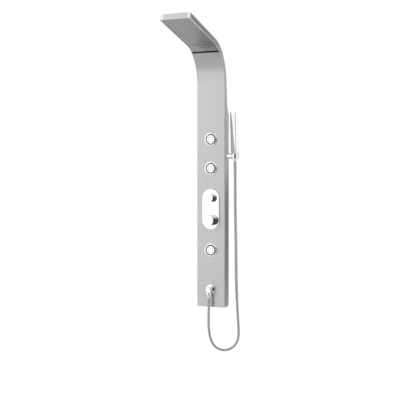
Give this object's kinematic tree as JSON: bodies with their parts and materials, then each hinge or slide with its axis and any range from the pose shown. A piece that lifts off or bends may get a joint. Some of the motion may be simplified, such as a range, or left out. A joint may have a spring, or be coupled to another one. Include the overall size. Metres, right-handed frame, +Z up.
{
  "type": "shower panel column",
  "caption": "Wall-hung steel shower column: swept rain head, ball body jets, mixer and diverter knobs, and a stick hand shower on a hose.",
  "frame": {"origin": "centre of the four wall screw holes, in the plane of the wall", "axes": "+X to the right as the user faces the panel, +Y into the wall, +Z up"},
  "size_m": [0.2176, 0.5484, 1.6143],
  "materials": {
    "brushed_steel": "satin brushed stainless steel sheet, brushed upright",
    "polished_chrome": "polished chrome plate",
    "hose_steel": "interlocked stainless steel strip, satin",
    "zinc_steel": "zinc plated steel",
    "brass": "cast and turned brass, unpolished",
    "white_plastic": "moulded acetal, natural white",
    "grey_silicone": "moulded silicone, grey",
    "pale_silicone": "moulded silicone, pale grey",
    "black_rubber": "moulded rubber, black",
    "black_plastic": "glass filled nylon, black",
    "hose_braid": "reinforced flexible hose, pale grey"
  },
  "bodies": {
    "column": {"panel_shell": "brushed_steel", "arch_back_cover": "brushed_steel", "nozzle_plate": "brushed_steel", "cover_screws": "zinc_steel", "nozzle_mat": "grey_silicone", "rain_chamber": "black_plastic", "chamber_nuts": "zinc_steel", "jet_gaskets": "black_rubber", "jet_lock_nuts": "black_plastic", "control_plate": "polished_chrome", "plate_gasket": "black_rubber", "valve_body": "brass", "mixer_cartridge": "white_plastic", "mixer_collar": "polished_chrome", "diverter_cartridge": "white_plastic", "diverter_collar": "polished_chrome", "outlet_flange": "polished_chrome", "outlet_elbow": "polished_chrome", "outlet_lock_nut": "brass", "outlet_tail": "brass", "hose_nut": "polished_chrome", "hose_sleeve": "polished_chrome", "shower_hose": "hose_steel", "holder_arm": "polished_chrome", "holder_liner": "white_plastic", "holder_bolt": "zinc_steel", "wall_bracket_upper": "zinc_steel", "wall_bracket_lower": "zinc_steel", "hanger_upper": "zinc_steel", "hanger_lower": "zinc_steel", "head_feed_hose": "hose_braid", "jet_feed_hoses": "hose_braid", "hand_feed_hose": "hose_braid", "union_nuts": "brass", "jet_bezel_upper": "polished_chrome", "jet_housing_upper": "black_plastic", "jet_bezel_middle": "polished_chrome", "jet_housing_middle": "black_plastic", "jet_bezel_lower": "polished_chrome", "jet_housing_lower": "black_plastic"},
    "mixer_control": {"mixer_knob": "polished_chrome", "mixer_spindle": "brass", "mixer_grub_screw": "zinc_steel"},
    "diverter_control": {"diverter_knob": "polished_chrome", "diverter_spindle": "brass", "diverter_grub_screw": "zinc_steel"},
    "hand_shower": {"handset_body": "polished_chrome", "handset_face": "polished_chrome", "handset_nozzles": "pale_silicone", "handset_cone_nut": "polished_chrome", "handset_sleeve": "polished_chrome"},
    "upper_jet_ring": {"jet_seat_ring_upper": "black_plastic"},
    "upper_jet_ball": {"jet_ball_upper": "polished_chrome", "jet_nozzles_upper": "grey_silicone"},
    "middle_jet_ring": {"jet_seat_ring_middle": "black_plastic"},
    "middle_jet_ball": {"jet_ball_middle": "polished_chrome", "jet_nozzles_middle": "grey_silicone"},
    "lower_jet_ring": {"jet_seat_ring_lower": "black_plastic"},
    "lower_jet_ball": {"jet_ball_lower": "polished_chrome", "jet_nozzles_lower": "grey_silicone"}
  },
  "joints": [
    {"name": "upper_jet_tilt", "type": "hinge", "parent": "column", "child": "upper_jet_ring", "pos_m": [0, -0.053, 0.325], "axis": [1, 0, 0], "range_deg": [-10, 10]},
    {"name": "upper_jet_swivel", "type": "hinge", "parent": "upper_jet_ring", "child": "upper_jet_ball", "pos_m": [0, -0.053, 0.325], "axis": [0, 0, 1], "range_deg": [-10, 10]},
    {"name": "middle_jet_tilt", "type": "hinge", "parent": "column", "child": "middle_jet_ring", "pos_m": [0, -0.053, 0.178], "axis": [1, 0, 0], "range_deg": [-10, 10]},
    {"name": "middle_jet_swivel", "type": "hinge", "parent": "middle_jet_ring", "child": "middle_jet_ball", "pos_m": [0, -0.053, 0.178], "axis": [0, 0, 1], "range_deg": [-10, 10]},
    {"name": "lower_jet_tilt", "type": "hinge", "parent": "column", "child": "lower_jet_ring", "pos_m": [0, -0.053, -0.239], "axis": [1, 0, 0], "range_deg": [-10, 10]},
    {"name": "lower_jet_swivel", "type": "hinge", "parent": "lower_jet_ring", "child": "lower_jet_ball", "pos_m": [0, -0.053, -0.239], "axis": [0, 0, 1], "range_deg": [-10, 10]},
    {"name": "mixer_turn", "type": "hinge", "parent": "column", "child": "mixer_control", "pos_m": [0, -0.062, -0.087], "axis": [0, -1, 0], "range_deg": [0, 270]},
    {"name": "diverter_turn", "type": "hinge", "parent": "column", "child": "diverter_control", "pos_m": [0, -0.062, 0.027], "axis": [0, -1, 0], "range_deg": [-60, 60]},
    {"name": "hand_shower_lift", "type": "slide", "parent": "column", "child": "hand_shower", "axis": [0, -0.0785, 0.9969], "range_m": [0, 0.08]}
  ]
}
